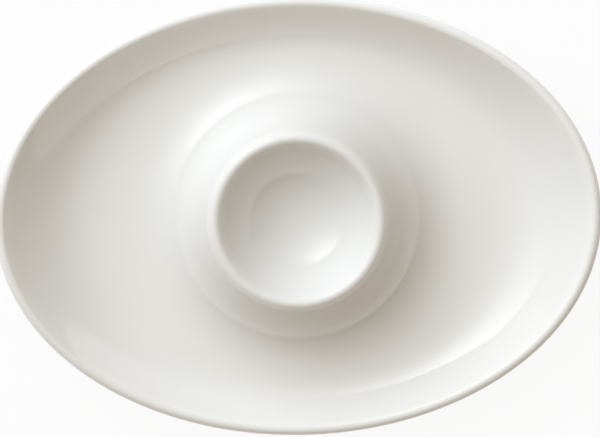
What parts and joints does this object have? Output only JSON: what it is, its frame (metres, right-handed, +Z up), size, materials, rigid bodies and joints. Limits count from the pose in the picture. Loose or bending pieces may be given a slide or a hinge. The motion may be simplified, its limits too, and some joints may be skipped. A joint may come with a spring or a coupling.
{
  "type": "egg cup",
  "caption": "Low white egg cup: a round cup with a rounded lip and flared flank rises from the middle of an oval saucer with a rounded rim, on a bare foot ring.",
  "frame": {"origin": "on the table, under the middle of the dish", "axes": "+X along the dish's length, +Y across it, +Z up out of the cup"},
  "size_m": [0.15, 0.1092, 0.0263],
  "materials": {
    "cup_glaze": "smooth white glaze",
    "dish_glaze": "smooth white glaze",
    "bare_biscuit": "unglazed, ground flat"
  },
  "bodies": {
    "root": {"egg_cup": "cup_glaze", "saucer": "dish_glaze", "foot_ring": "bare_biscuit"}
  },
  "joints": []
}
